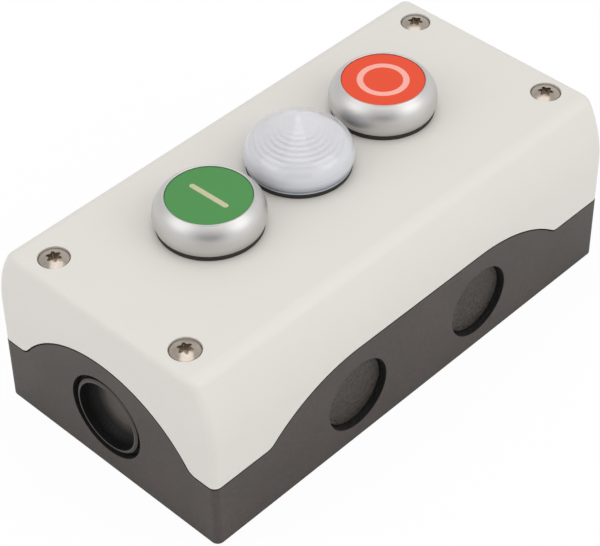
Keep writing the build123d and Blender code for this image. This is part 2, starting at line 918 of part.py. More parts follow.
def build_plunger(name, x, window):
    """Contact plunger: round stem through the lid, and a carrier with a window for the bridge."""
    low, high = window
    with BuildPart() as plunger:
        with BuildSketch(level(x, row_y, carrier_foot_z)):
            Rectangle(carrier_width, carrier_depth)
        extrude(amount=carrier_head_z - carrier_foot_z)
        with BuildSketch(level(x, row_y, low)):
            Rectangle(window_width, carrier_depth)
        extrude(amount=high - low, mode=Mode.SUBTRACT)
        with BuildSketch(level(x, row_y, carrier_head_z)):
            Circle(plunger_radius)
        extrude(amount=plunger_z - carrier_head_z)
        chamfer(plunger.faces().sort_by(Axis.Z)[-1].edges(), plunger_chamfer)
    keep(plunger, name)


def build_bridge(name, x, foot, rivet_up):
    """Bridge contact: a copper strip across both fixed contacts, with a rivet at each end."""
    rivet_plane = foot + bridge_thickness if rivet_up else foot
    with BuildPart() as bridge:
        with BuildSketch(level(x, row_y, foot)):
            RectangleRounded(bridge_width, bridge_length, bridge_corner_radius)
        extrude(amount=bridge_thickness)
        with BuildSketch(level(x, row_y, rivet_plane)):
            with Locations((0, rivet_y), (0, -rivet_y)):
                Circle(rivet_radius)
        extrude(amount=bridge_rivet if rivet_up else -bridge_rivet)
    keep(bridge, name)


def build_board_and_led():
    """Small circuit board with its light-emitting diode, which looks up through the lid."""
    board_top = board_z + board_thickness
    with BuildPart() as board:
        with BuildSketch(level(lamp_x, row_y, board_z)):
            Rectangle(board_width, board_length)
        extrude(amount=board_thickness)
    keep(board, "led_board")
    with BuildPart() as led:
        with BuildSketch(upright(lamp_x, row_y)):
            with BuildLine():
                Polyline(
                    (0, led_z),
                    (0, board_top),
                    (led_flange_radius, board_top),
                    (led_flange_radius, board_top + led_flange_height),
                    (led_radius, board_top + led_flange_height),
                    (led_radius, led_z - led_radius),
                )
                TangentArc((led_radius, led_z - led_radius), (0, led_z), tangent=(0, 1))
            make_face()
        revolve(axis=stand(lamp_x, row_y))
    keep(led, "led_bulb")


def build_head(prefix, x, symbol):
    """Everything of one pushbutton head."""
    build_seal(f"{prefix}_seal", x)
    build_bezel(f"{prefix}_bezel", x)
    build_cap(f"{prefix}_cap", f"{prefix}_symbol", x, symbol)
    build_collar(f"{prefix}_collar", x)
    build_ring_nut(f"{prefix}_ring_nut", x)
    build_slider(f"{prefix}_slider", x)
    build_retainer(f"{prefix}_spring_retainer", x)
    seat = barrel_foot_z + retainer_height
    flange = slider_flange_z - slider_flange_height
    build_spring(f"{prefix}_return_spring", x, seat, flange, return_wire, return_coil, return_turns)


def build_contact(prefix, x, window, bridge_z, closes):
    """Everything of one contact element; one that closes has its fixed contacts under the bridge."""
    low, high = window
    rivet_up = closes
    if closes:
        tip_z = bridge_z - bridge_rivet - closing_travel - contact_gap
        strip_z = tip_z - rivet_height - strip_thickness
        spring_foot, spring_top = bridge_z + bridge_thickness, high
    else:
        tip_z = bridge_z + bridge_thickness + bridge_rivet + contact_gap
        strip_z = terminal_z - strip_thickness
        spring_foot, spring_top = low, bridge_z
    build_block_case(f"{prefix}_contact_case", x, strip_z)
    build_block_lid(f"{prefix}_contact_lid", x, plunger_radius + running_gap)
    build_fixed_contacts(f"{prefix}_fixed_contacts", x, tip_z, rivet_up)
    build_clamps(f"{prefix}_terminal_clamps", x)
    build_terminal_screws(f"{prefix}_terminal_screws", x)
    build_plunger(f"{prefix}_plunger", x, window)
    build_bridge(f"{prefix}_bridge", x, bridge_z, not closes)
    build_spring(
        f"{prefix}_bridge_spring", x, spring_foot, spring_top, bridge_wire, bridge_coil, bridge_turns
    )
    build_spring(
        f"{prefix}_plunger_spring",
        x,
        chamber_floor_z,
        carrier_foot_z,
        plunger_wire,
        plunger_coil,
        plunger_turns,
    )


def build_lamp():
    """Lamp head in the cover and lamp element on the case floor."""
    build_seal("lamp_seal", lamp_x)
    build_lens()
    build_lamp_body()
    build_ring_nut("lamp_ring_nut", lamp_x)
    build_block_case("led_case", lamp_x, terminal_z - strip_thickness)
    build_block_lid("led_lid", lamp_x, led_flange_radius + running_gap)
    build_lamp_terminals()
    build_clamps("led_terminal_clamps", lamp_x)
    build_terminal_screws("led_terminal_screws", lamp_x)
    build_board_and_led()


build_lower_case()
build_top_cover()
build_cover_gasket()
build_cover_screws()
build_entry_plug("left_entry_plug", -1)
build_entry_plug("right_entry_plug", 1)
build_head("start", start_x, start_bar)
build_head("stop", stop_x, stop_ring)
build_contact("start", start_x, closing_window, closing_bridge_z, True)
build_contact("stop", stop_x, opening_window, opening_bridge_z, False)
build_lamp()
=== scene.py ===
"""Looks of the pushbutton control station, dressed on its packed construction model.

The frame is the model's own: +Z out of the wall, X from the start button to the stop button.
Sizes of the pieces made here are in millimetres, and surface() turns them into metres. A finish
reads the position on the object in metres, so the places of its masks are in metres too.
"""

from math import radians

import bmesh
import bpy
import numpy as np
from mathutils import Matrix, Vector


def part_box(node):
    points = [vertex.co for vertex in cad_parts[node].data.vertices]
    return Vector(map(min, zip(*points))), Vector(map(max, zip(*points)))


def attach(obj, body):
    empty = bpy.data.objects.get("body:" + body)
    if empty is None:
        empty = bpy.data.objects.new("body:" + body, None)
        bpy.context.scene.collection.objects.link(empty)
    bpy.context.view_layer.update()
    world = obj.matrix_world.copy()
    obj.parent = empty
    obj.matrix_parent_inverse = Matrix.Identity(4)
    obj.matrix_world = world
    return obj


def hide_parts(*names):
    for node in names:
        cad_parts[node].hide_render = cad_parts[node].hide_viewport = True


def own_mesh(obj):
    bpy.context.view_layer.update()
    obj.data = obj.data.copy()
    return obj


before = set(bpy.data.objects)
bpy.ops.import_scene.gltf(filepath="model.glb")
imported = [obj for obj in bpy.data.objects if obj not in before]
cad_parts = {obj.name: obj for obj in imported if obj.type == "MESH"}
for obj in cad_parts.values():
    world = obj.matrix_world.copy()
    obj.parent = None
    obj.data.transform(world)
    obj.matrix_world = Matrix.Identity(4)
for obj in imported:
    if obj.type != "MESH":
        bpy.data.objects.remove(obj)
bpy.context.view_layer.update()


# Lower case. The dark half of the enclosure: one injection moulding in glass-filled plastic with a
# fine spark-eroded skin. Its knockout discs, raised rings and snap hooks are part of the moulding.

class Field:
    """A value or colour that varies over a surface: one output of a node.

    Arithmetic on fields adds the Math nodes that work it out.
    """

    def __init__(self, tree, socket):
        self.tree = tree
        self.socket = socket

    def math(self, operation, *values):
        """One Math node of that operation on fields and numbers."""
        inputs = dict(enumerate(values))
        return Shading(self.tree).node("ShaderNodeMath", {"operation": operation}, inputs)

    def __add__(self, other):
        return self.math("ADD", self, other)

    def __sub__(self, other):
        return self.math("SUBTRACT", self, other)

    def __rsub__(self, other):
        return self.math("SUBTRACT", other, self)

    def __mul__(self, other):
        return self.math("MULTIPLY", self, other)

    def __abs__(self):
        return self.math("ABSOLUTE", self)

    def __lt__(self, other):
        return self.math("LESS_THAN", self, other)

    def __gt__(self, other):
        return self.math("GREATER_THAN", self, other)

    def __or__(self, other):
        return self.math("MAXIMUM", self, other)

    __radd__ = __add__
    __rmul__ = __mul__

    def within(self, low, high):
        """Mask of the stretch between two limits."""
        return (self < high) * (self > low)

    def off(self, other):
        """Distance from an axis, from the offsets in the two directions across it."""
        return self.math("SQRT", self * self + other * other)


class Shading:
    """The node tree of a finish or of the room's light."""

    def __init__(self, tree):
        self.tree = tree

    def fill(self, socket, value):
        """Gives a socket a field's link, a number, or a colour, which is opaque."""
        if isinstance(value, Field):
            self.tree.links.new(value.socket, socket)
        elif socket.type == "RGBA":
            socket.default_value = (*value, 1.0)
        else:
            socket.default_value = value

    def node(self, kind, settings=None, inputs=None, out=0):
        """Adds a node: settings first, then the values or links of its sockets; gives one output.

        The stops of a ramp are a setting too: pairs of a place from 0 to 1 and a colour.
        """
        node = self.tree.nodes.new(kind)
        for name, value in (settings or {}).items():
            if name == "stops":
                for place, _ in value[1:-1]:
                    node.color_ramp.elements.new(place)
                for stop, (place, color) in zip(node.color_ramp.elements, value):
                    stop.position, stop.color = place, (*color, 1.0)
            else:
                setattr(node, name, value)
        for name, value in (inputs or {}).items():
            self.fill(node.inputs[name], value)
        return Field(self.tree, node.outputs[out])

    def coordinates(self, place):
        """The three coordinates of a position or a direction."""
        parts = self.node("ShaderNodeSeparateXYZ", inputs={0: place}).socket.node
        return [Field(self.tree, output) for output in parts.outputs]


class Finish(Shading):
    """A material with one principled shader: constants sit on its sockets, fields are linked."""

    def __init__(self, name, color, **sockets):
        self.material = bpy.data.materials.new(name)
        self.material.use_nodes = True
        super().__init__(self.material.node_tree)
        self.shader = self.tree.nodes["Principled BSDF"]
        self.set(Base_Color=color, **sockets)

    def set(self, **sockets):
        """Sets sockets of the shader by name, with _ for a space, to numbers, colours or fields."""
        for name, value in sockets.items():
            self.fill(self.shader.inputs[name.replace("_", " ")], value)

    def place(self):
        """Position on the object, in metres."""
        return self.node("ShaderNodeTexCoord", out="Object")

    def noise(self, size, detail):
        """Noise from 0 to 1 about 0.5, with lumps of about the given size in millimetres."""
        inputs = {"Vector": self.place(), "Scale": 1000.0 / size, "Detail": detail}
        return self.node("ShaderNodeTexNoise", inputs=inputs)

    def tint(self, mask, low, high):
        """Colour that goes from low to high as the mask goes from 0 to 1."""
        return self.node("ShaderNodeMix", {"data_type": "RGBA"}, {0: mask, 6: low, 7: high}, out=2)

    def bump(self, height, depth):
        """Bump of a height field from 0 to 1, depth in millimetres from its lowest to its highest."""
        inputs = {"Height": height, "Strength": 1.0, "Distance": depth / 1000.0}
        self.set(Normal=self.node("ShaderNodeBump", inputs=inputs))


def dress(finish, *names):
    """Gives the frame's nodes of these names a finish."""
    for name in names:
        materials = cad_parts[name].data.materials
        materials.clear()
        materials.append(finish.material)


# a knockout: its middle's distance along X from the case's middle and its height, the radius of
# its recess and that of its floor, and how far out in Y the recess reaches
knock_aside, knock_up, knock_recess, knock_disc = 0.0242, 0.0162, 0.0110, 0.0102
knock_reach = (0.0365, 0.0398)
# an entry: its height, the radius of its hole, and how far out in X the hole reaches
entry_up, entry_hole, entry_reach = 0.019, 0.0130, (0.0730, 0.0764)
skin_tones = (0.029, 0.021, 0.0165), (0.055, 0.0405, 0.034)
disc_tones = (0.016, 0.012, 0.009), (0.058, 0.045, 0.035)
# near black: painted shade on the walls of the knockout recesses and of the entry hole
recess_shade_tone = (0.002, 0.001, 0.001)
drift_size = 18.0

case_plastic = Finish("case_plastic", (0.036, 0.028, 0.0225), Specular_IOR_Level=0.55)
case_x, case_y, case_z = case_plastic.coordinates(case_plastic.place())
spark_fine = case_plastic.noise(0.5, 2.0)
spark_coarse = case_plastic.noise(0.9, 5.0)
case_drift = case_plastic.noise(drift_size, 3.0)
knock_off = (abs(case_x) - knock_aside).off(case_z - knock_up)
knock = (knock_off < knock_recess) * abs(case_y).within(*knock_reach)
entry_off = case_y.off(case_z - entry_up)
entry_wall = (entry_off < entry_hole) * abs(case_x).within(*entry_reach)
# the recess and hole walls are painted near black as shade, and are made rougher
recess_shade_mask = knock * (knock_off > knock_disc) | entry_wall
# the masks of both tones mix two noises, each about 0.5, and are brought back to about the middle
skin = case_plastic.tint(case_drift * 1.1 + spark_coarse * 1.4 - 0.75, *skin_tones)
disc = case_plastic.tint(spark_coarse * 2.6 + case_drift - 1.4, *disc_tones)
case_plastic.set(
    Base_Color=case_plastic.tint(recess_shade_mask, case_plastic.tint(knock, skin, disc), recess_shade_tone),
    Roughness=spark_fine * 0.08 + recess_shade_mask * 0.3 + 0.44,
)
case_plastic.bump(spark_fine * 0.06 + knock * spark_coarse * 0.5, 1.0)
dress(case_plastic, "lower_case")


# Top cover. The pale half of the enclosure: one moulding in the same plastic, with a softly crowned
# face, round flanks and four bosses sunk for the screws. Its skin is finer than the case's.

def moulded(name, color, grain, depth, roughness, drift, **sockets):
    """Moulded plastic: a fine grain in the skin, and colour and gloss that drift a little.

    The grain's size and depth are in millimetres; the colour goes down and up by the drift's share.
    """
    finish = Finish(name, color, **sockets)
    dark, light = (tuple(c * (1 + way * drift) for c in color) for way in (-1, 1))
    fine = finish.noise(grain, 1.0)
    finish.set(
        Base_Color=finish.tint(finish.noise(drift_size, 3.0), dark, light),
        Roughness=fine * 0.08 + (roughness - 0.04),
    )
    finish.bump(fine, depth)
    return finish


cover_plastic = moulded("cover_plastic", (0.665, 0.641, 0.602), 0.3, 0.006, 0.42, drift=0.012)
dress(cover_plastic, "top_cover")


# Cover gasket. A strip of soft black rubber that lies in the groove of the case's wavy rim, and is
# pressed by the cover's edge.

gasket_rubber = moulded("gasket_rubber", (0.012, 0.011, 0.010), 0.6, 0.02, 0.7, drift=0.1)
dress(gasket_rubber, "cover_gasket")


# Cover screws. Four long machine screws in bright nickel-plated steel, with domed heads, six-lobe
# sockets and a rolled thread at the tip. They pull the cover down on the case.

def extent(node):
    """Lowest and highest corner of a node of the frame, in millimetres."""
    low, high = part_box(node)
    return np.array(low) * 1000.0, np.array(high) * 1000.0


# points nearer than this, in metres, are one, and edges that turn more than this stay sharp
same_point, sharp_turn = 2e-7, radians(35)


def surface(name, grid, finish, body, slot, *replaced):
    """Mesh piece from a grid of points, rows by columns by 3: each four neighbours are a face.

    Points that meet at a seam or a pole are merged, so that the skin is closed.
    """
    rows, columns, _ = grid.shape
    first = (np.arange(rows - 1)[:, None] * columns + np.arange(columns - 1)).ravel()
    quads = np.stack([first, first + 1, first + columns + 1, first + columns], axis=1)
    mesh = bpy.data.meshes.new(name)
    mesh.from_pydata((grid.reshape(-1, 3) / 1000.0).tolist(), [], quads.tolist())
    shape = bmesh.new()
    shape.from_mesh(mesh)
    bmesh.ops.remove_doubles(shape, verts=shape.verts, dist=same_point)
    bmesh.ops.recalc_face_normals(shape, faces=shape.faces)
    shape.to_mesh(mesh)
    shape.free()
    mesh.shade_smooth()
    mesh.set_sharp_from_angle(angle=sharp_turn)
    mesh.materials.append(finish.material)
    piece = bpy.data.objects.new(name, mesh)
    bpy.context.scene.collection.objects.link(piece)
    piece.modifiers.new("even_shading", "WEIGHTED_NORMAL").keep_sharp = True
    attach(piece, body)
    if replaced:
        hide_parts(*replaced)
    return piece


def rounded(*corners, steps=6):
    """Closed outline through corners (radius, height, rounding), each rounded by an arc.

    The arc leaves both sides at rounding / tan(half the corner's angle) from the corner, and its
    centre is on the corner's bisector.
    """
    corners = np.array(corners, float)
    point, rounding = corners[:, :2], corners[:, 2:]
    back = np.roll(point, 1, axis=0) - point
    ahead = np.roll(point, -1, axis=0) - point
    back /= np.linalg.norm(back, axis=1, keepdims=True)
    ahead /= np.linalg.norm(ahead, axis=1, keepdims=True)
    half = np.arccos(np.clip((back * ahead).sum(axis=1, keepdims=True), -1.0, 1.0)) / 2
    middle = back + ahead
    middle /= np.linalg.norm(middle, axis=1, keepdims=True)
    centre = point + middle * rounding / np.sin(half)
    reach = rounding / np.tan(half)
    leaving, arriving = point + back * reach - centre, point + ahead * reach - centre
    turn = (np.pi - 2 * half)[:, :, None]
    share = np.linspace(0.0, 1.0, steps)[None, :, None]
    blend = np.sin((1 - share) * turn) * leaving[:, None] + np.sin(share * turn) * arriving[:, None]
    return (centre[:, None] + blend / np.sin(turn)).reshape(-1, 2)


screw_low, screw_high = extent("cover_screws")
screw_head, screw_shank, screw_columns = 4.05, 2.0, 96
head_top, head_rim, head_seat = (screw_high[2] - drop for drop in (0.2, 1.12, 2.4))
rim_round, seat_round, neck_round, rim_inset = 0.1, 0.15, 0.2, 0.12
socket_mean, socket_lobe, socket_wall, socket_floor, socket_cone = 1.66, 0.38, 0.11, 1.5, 0.25
thread_pitch, thread_depth, thread_length, thread_rows = 0.7, 0.38, 14.0, 118
tip_length, tip_radius = 0.8, 1.2


def screw_grid(x, y):
    """Grid of one cover screw at x, y, from the socket's floor over the head and down to the tip.

    The dome is a sphere's cap. The socket's edge is at a mean radius plus a lobe times the cosine
    of six times the angle, and falls by a smooth step. The thread's ridge is a triangle wave of
    the height less the pitch times the turn.
    """
    angle = np.linspace(0.0, 2 * np.pi, screw_columns + 1)[None, :]
    edge = socket_mean + socket_lobe * np.cos(6 * angle)
    floor_radius = np.linspace(0.0, 1.0, 7)[:, None] * (edge - socket_wall)
    wall_radius = edge + np.linspace(-1.0, 1.0, 7)[:, None] * socket_wall
    share = np.linspace(0.0, 1.0, 14)[:, None]
    dome_radius = (edge + socket_wall) * (1 - share) + (screw_head - rim_inset) * share
    radius = np.concatenate([floor_radius, wall_radius, dome_radius])
    drop = head_top - head_rim
    sphere = (screw_head**2 + drop**2) / (2 * drop)
    dome = head_top - (sphere - np.sqrt(sphere**2 - radius**2))
    sunk = np.clip((edge + socket_wall - radius) / (2 * socket_wall), 0.0, 1.0)
    depth = socket_floor + socket_cone * (1 - radius / screw_head)
    height = dome - sunk**2 * (3 - 2 * sunk) * depth

    # rim, seat and neck; the last corner lies on the axis, and only gives the shank's direction
    rim = rounded(
        (screw_head, head_rim, rim_round),
        (screw_head, head_seat, seat_round),
        (screw_shank, head_seat, neck_round),
        (0, 45, 0),
    )[:-6, :, None]
    thread_top = screw_low[2] + thread_length
    along = np.linspace(thread_top, screw_low[2] + tip_length, thread_rows)[:, None]
    wave = np.abs(((along / thread_pitch - angle / (2 * np.pi)) % 1.0) * 2 - 1)
    fade = np.clip((thread_top - along) / thread_pitch, 0.0, 1.0)
    thread = screw_shank - thread_depth * wave * fade
    tip = np.array([(tip_radius, screw_low[2]), (0.0, screw_low[2])])[:, :, None]
    level = 0 * angle
    radius = np.concatenate([radius, rim[:, 0] + level, thread, tip[:, 0] + level])
    height = np.concatenate([height, rim[:, 1] + level, along + level, tip[:, 1] + level])
    return np.stack([x + radius * np.cos(angle), y + radius * np.sin(angle), height], axis=-1)


screw_steel = Finish("screw_steel", (0.46, 0.40, 0.345), Metallic=1.0)
plating = screw_steel.noise(1.2, 3.0)
screw_steel.set(
    Base_Color=screw_steel.tint(plating, (0.38, 0.325, 0.275), (0.54, 0.48, 0.42)),
    Roughness=plating * 0.2 + 0.1,
)
screw_steel.bump(screw_steel.noise(0.6, 3.0), 0.02)
screw_names = ("screw_near_start", "screw_far_start", "screw_near_stop", "screw_far_stop")
screw_x, screw_y, _ = screw_high - screw_head
screw_places = [(x, y) for x in (-screw_x, screw_x) for y in (-screw_y, screw_y)]
for screw_name, (x, y) in zip(screw_names, screw_places):
    replaced = ("cover_screws",) if screw_name == screw_names[0] else ()
    surface(screw_name, screw_grid(x, y), screw_steel, "root", "screw_steel", *replaced)


# Entry plugs. Black polyamide cups pushed into the cable entry of each end wall: a thin lip round
# a deep cup with a round floor, and a bead behind the wall that holds them.

def turned(outline, centre, along=(0, 0, 1), steps=168):
    """Grid of a turned shape: a closed outline of (radius, height) carried round an axis.

    A point is the centre, plus its height along the axis, plus its radius across it at the angle.
    The axis lies across Y.
    """
    along, side = np.array(along, float), np.array((0.0, 1.0, 0.0))
    up = np.cross(along, side)
    angle = np.linspace(0.0, 2 * np.pi, steps + 1)[:, None, None]
    outline = np.concatenate([outline, outline[:1]])
    radius, height = outline[None, :, :1], outline[None, :, 1:]
    ring = np.cos(angle) * side + np.sin(angle) * up
    return np.array(centre, float) + radius * ring + height * along


plug_lip, plug_crown, plug_mouth, plug_body, plug_bead = 11.36, 10.62, 10.26, 12.7, 13.2
plug_sink, plug_lip_sink, plug_flange, plug_cup, plug_depth = 0.05, 0.55, 2.1, 5.6, 7.4
plug_lead_in, bead_from_wall, bead_from_end, end_chamfer = 0.1, 1.5, 1.6, 0.8
cup_round, wall_thickness = 3.6, 2.8
# its tone by the distance from its axis is painted light and shade: a grey floor painted as lit,
# black painted shade where that rounds up, and a paler lip painted as catching the light
plug_light_and_shade = (0.0, 0.12), (6.0, 0.105), (8.9, 0.004), (10.3, 0.003), (10.4, 0.085), (11.3, 0.065)
plug_painted_stops = [(at / plug_bead, (level, level * 0.88, level * 0.8)) for at, level in plug_light_and_shade]
# painted shade: black in the gap round the lip
plug_painted_stops.append((11.38 / plug_bead, (0.002, 0.002, 0.002)))

plug_plastic = Finish("plug_plastic", (0.026, 0.021, 0.018), Specular_IOR_Level=0.3)
_, plug_y, plug_z = plug_plastic.coordinates(plug_plastic.place())
plug_off = plug_y.off(plug_z - entry_up) * (1000.0 / plug_bead)
plug_grain = plug_plastic.noise(0.5, 3.0)
plug_plastic.set(
    Base_Color=plug_plastic.node("ShaderNodeValToRGB", {"stops": plug_painted_stops}, {"Fac": plug_off}),
    Roughness=plug_grain * 0.1 + 0.55,
)
plug_plastic.bump(plug_grain, 0.12)
plug_outline = rounded(
    (0, -plug_cup, 0),
    (plug_mouth, -plug_cup, cup_round),
    (plug_mouth, -plug_sink - plug_lead_in, 0.05),
    (plug_crown, -plug_sink, 0.1),
    (plug_lip, -plug_lip_sink, 0.15),
    (plug_lip, -plug_flange, 0.12),
    (plug_body, -plug_flange, 0.2),
    (plug_body, -wall_thickness - plug_lead_in, 0.05),
    (plug_bead, -wall_thickness - bead_from_wall, 0.3),
    (plug_body, -plug_depth + bead_from_end, 0.3),
    (plug_body - end_chamfer, -plug_depth, 0.2),
    (0, -plug_depth, 0),
    steps=9,
)
for plug_name, side in (("left_entry_plug", -1), ("right_entry_plug", 1)):
    low, high = extent(plug_name)
    mouth = (high if side > 0 else low)[0] + side * plug_sink
    plug_centre = (mouth, 0, (low[2] + high[2]) / 2)
    plug_grid = turned(plug_outline, plug_centre, (side, 0, 0))
    surface(f"{plug_name}_cup", plug_grid, plug_plastic, "root", "plug_plastic", plug_name)


# Head seals. A thin black rubber ring under each of the three heads, with rounded edges; it keeps
# water out of the cover's hole.

seal_rubber = moulded("seal_rubber", (0.016, 0.014, 0.011), 0.7, 0.03, 0.65, drift=0.1)
seal_bore, seal_edge, seal_round = 11.2, 0.05, 0.3
for head in ("start", "lamp", "stop"):
    low, high = extent(f"{head}_seal")
    centre = (low + high) / 2
    seal_radius = centre[0] - low[0]
    seal_outline = rounded(
        (seal_bore, low[2], seal_edge),
        (seal_radius, low[2], seal_round),
        (seal_radius, high[2], seal_round),
        (seal_bore, high[2], seal_edge),
    )
    seal_grid = turned(seal_outline, (centre[0], centre[1], 0))
    surface(f"{head}_seal_ring", seal_grid, seal_rubber, "root", "seal_rubber", f"{head}_seal")


# Bezels. Turned metal rings in satin chrome round both caps: a full belly, a fine bright rim where
# the cap sits, and a stepped bore that grips the collar's cup.

def arc(start, centre, end, count):
    """Points on a round stretch from start to end: the radius turns evenly about the centre.

    Each point is the centre plus a mix of both radii, weighted by the sines of its angles to them.
    """
    start, centre, end = np.array(start), np.array(centre), np.array(end)
    a, b = start - centre, end - centre
    turn = np.arccos(np.clip(a @ b / np.sqrt((a @ a) * (b @ b)), -1.0, 1.0))
    share = np.linspace(0.0, 1.0, count)[:, None]
    return centre + (np.sin((1 - share) * turn) * a + np.sin(share * turn) * b) / np.sin(turn)


def belly(widest, end, count):
    """Arc from a profile's widest point, where it is upright, to another point of the profile.

    The centre is level with the widest point: its radius is (dr*dr + dz*dz) / (2*dr).
    """
    inward, rise = widest[0] - end[0], end[1] - widest[1]
    radius = (inward**2 + rise**2) / (2 * inward)
    return arc(widest, (widest[0] - radius, widest[1]), end, count)


bezel_metal = Finish("bezel_metal", (0.625, 0.613, 0.60), Metallic=1.0)
spin = bezel_metal.noise(0.6, 3.0)
bezel_metal.set(Roughness=spin * 0.06 + 0.40)
bezel_belly_z, bezel_seat_z, bezel_rim_drop = 58.9, 62.1, 0.22
bezel_foot, bezel_foot_rise, bezel_foot_step = 14.35, 0.1, 0.08
bezel_rim, bezel_rim_width, bezel_bore, bezel_seat = 12.15, 0.18, 11.47, 13.45
for head in ("start", "stop"):
    low, high = extent(f"{head}_bezel")
    centre = (low + high) / 2
    widest = (centre[0] - low[0], bezel_belly_z)
    foot = belly(widest, (bezel_foot, low[2] + bezel_foot_rise), 14)
    shoulder = belly(widest, (bezel_rim, high[2] - bezel_rim_drop), 34)
    # the first corner only gives the rim's direction, and the shoulder's end stands in its place
    lip = rounded(
        (bezel_rim, high[2] - bezel_rim_drop - 0.01, 0.01),
        (bezel_rim - bezel_rim_width, high[2], 0.12),
        (bezel_bore, high[2], 0.28),
        (bezel_bore, bezel_seat_z, 0.05),
        (bezel_seat, bezel_seat_z, 0.05),
        (bezel_seat, low[2], 0.1),
        (bezel_foot - bezel_foot_step, low[2], 0.05),
    )[6:]
    bezel_outline = np.concatenate([foot[::-1], shoulder[1:], lip])
    bezel_grid = turned(bezel_outline, (centre[0], centre[1], 0), steps=192)
    surface(f"{head}_bezel_ring", bezel_grid, bezel_metal, "root", "bezel_metal", f"{head}_bezel")


# Caps and symbols. Flush button caps in green and red plastic, each moulded round the pale plastic
# of its symbol: a bar for start, a ring for stop.

start_green = moulded(
    "start_green", (0.0625, 0.245, 0.0632), 0.5, 0.004, 0.4, drift=0.03, Specular_IOR_Level=0.3
)
start_mark = moulded("start_mark", (0.50, 0.47, 0.30), 0.5, 0.004, 0.42, drift=0.04)
stop_red = moulded(
    "stop_red", (0.725, 0.063, 0.018), 0.5, 0.004, 0.4, drift=0.02, Specular_IOR_Level=0.3
)
stop_mark = moulded("stop_mark", (0.85, 0.38, 0.32), 0.5, 0.004, 0.42, drift=0.03)
cap_round, cap_foot_round = 0.15, 0.1
inlay_depth, inlay_gap, inlay_edge, inlay_round = 0.4, 0.01, 0.02, 0.06
bar_half_width, bar_half_length, bar_direction = 0.8, 5.85, radians(92)
bar_columns = np.linspace(0.0, 4.0, 241)[None, :]


def bar_rows(share, width, radius, height):
    """Rows between a bar with round ends and a circle, as they are mixed by share.

    Both outlines run through four stretches: a straight side, a round end, the other side, the
    other end. The bar's point is its middle line's point plus half the width at the turn. All is
    turned from the Y axis to the bar's direction.
    """
    corners = np.arange(5)
    turn = np.interp(bar_columns, corners, np.array([0, 0, np.pi, np.pi, 2 * np.pi]))
    line = np.interp(bar_columns, corners, bar_half_length * np.array([-1, 1, 1, -1, -1]))
    circle = np.interp(bar_columns, corners, np.radians([-60, 60, 120, 240, 300]))
    bar_x, bar_y = width * np.cos(turn), line + width * np.sin(turn)
    across = (1 - share) * bar_x + share * radius * np.cos(circle)
    ahead = (1 - share) * bar_y + share * radius * np.sin(circle)
    x = across * np.sin(bar_direction) + ahead * np.cos(bar_direction)
    y = ahead * np.sin(bar_direction) - across * np.cos(bar_direction)
    return np.stack([x, y, height + 0 * bar_columns], axis=-1)


# the start cap's rows go from the pocket's floor up its wall, over the face to the round edge, and
# down to the middle of the underside
cap_low, cap_high = extent("start_cap")
cap_centre = (cap_low + cap_high) / 2 * (1, 1, 0)
cap_radius = (cap_high[0] - cap_low[0]) / 2
edge_radius, edge_height = rounded(
    (0, cap_high[2], 0),
    (cap_radius, cap_high[2], cap_round),
    (cap_radius, cap_low[2], cap_foot_round),
    (0, cap_low[2], 0),
)[6:-6].T[:, :, None]
pocket_share = np.array([0, 0, 0, 0, 0.05, 0.5, 0.9])[:, None]
pocket_width = np.array([0, 1, 1, 1.03, 1, 1, 1])[:, None] * bar_half_width
pocket_height = cap_high[2] - np.array([1, 1, 0.05, 0, 0, 0, 0])[:, None] * inlay_depth
cap_share = np.concatenate([pocket_share, 1 + 0 * edge_radius, [[1.0]]])
cap_width = np.concatenate([pocket_width, bar_half_width + 0 * edge_radius, [[0.0]]])
cap_rim = np.concatenate([cap_radius - cap_round + 0 * pocket_share, edge_radius, [[0.0]]])
cap_height = np.concatenate([pocket_height, edge_height, [[cap_low[2]]]])
start_cap_grid = bar_rows(cap_share, cap_width, cap_rim, cap_height) + cap_centre
surface("start_cap_face", start_cap_grid, start_green, "start_button", "start_green", "start_cap")

# the bar's rows go from the middle of its underside up its wall and to its middle line
inlay_width = np.array([0, 1, 1, 0.94, 0.82, 0])[:, None] * (bar_half_width - inlay_gap)
inlay_height = np.array([1, 1, 0.12, 0.04, 0.02, 0.02])[:, None] * -inlay_depth + cap_high[2]
inlay_grid = bar_rows(0.0, inlay_width, 0.0, inlay_height) + cap_centre
surface("start_bar", inlay_grid, start_mark, "start_button", "start_mark", "start_symbol")

cap_low, cap_high = extent("stop_cap")
ring_low, ring_high = extent("stop_symbol")
cap_centre = (cap_low + cap_high) / 2 * (1, 1, 0)
ring_outer, ring_inner = (ring_high[0] - ring_low[0]) / 2, 5.4
stop_outline = rounded(
    (0, cap_low[2], 0),
    (cap_radius, cap_low[2], cap_foot_round),
    (cap_radius, cap_high[2], cap_round),
    (ring_outer, cap_high[2], inlay_edge),
    (ring_outer, ring_low[2], inlay_edge),
    (ring_inner, ring_low[2], inlay_edge),
    (ring_inner, cap_high[2], inlay_edge),
    (0, cap_high[2], 0),
)
stop_cap_grid = turned(stop_outline, cap_centre)
surface("stop_cap_face", stop_cap_grid, stop_red, "stop_button", "stop_red", "stop_cap")
ring_outline = rounded(
    (ring_outer - inlay_gap, ring_low[2], inlay_edge),
    (ring_outer - inlay_gap, ring_high[2] - inlay_gap, inlay_round),
    (ring_inner + inlay_gap, ring_high[2] - inlay_gap, inlay_round),
    (ring_inner + inlay_gap, ring_low[2], inlay_edge),
)
ring_grid = turned(ring_outline, cap_centre)
surface("stop_ring", ring_grid, stop_mark, "stop_button", "stop_mark", "stop_symbol")


# Lamp lens. A milky cone in clouded polycarbonate on the lamp body, smooth outside. Ten stepped
# rings inside spread the lamp's light, and show through the wall as pale steps up to the tip.

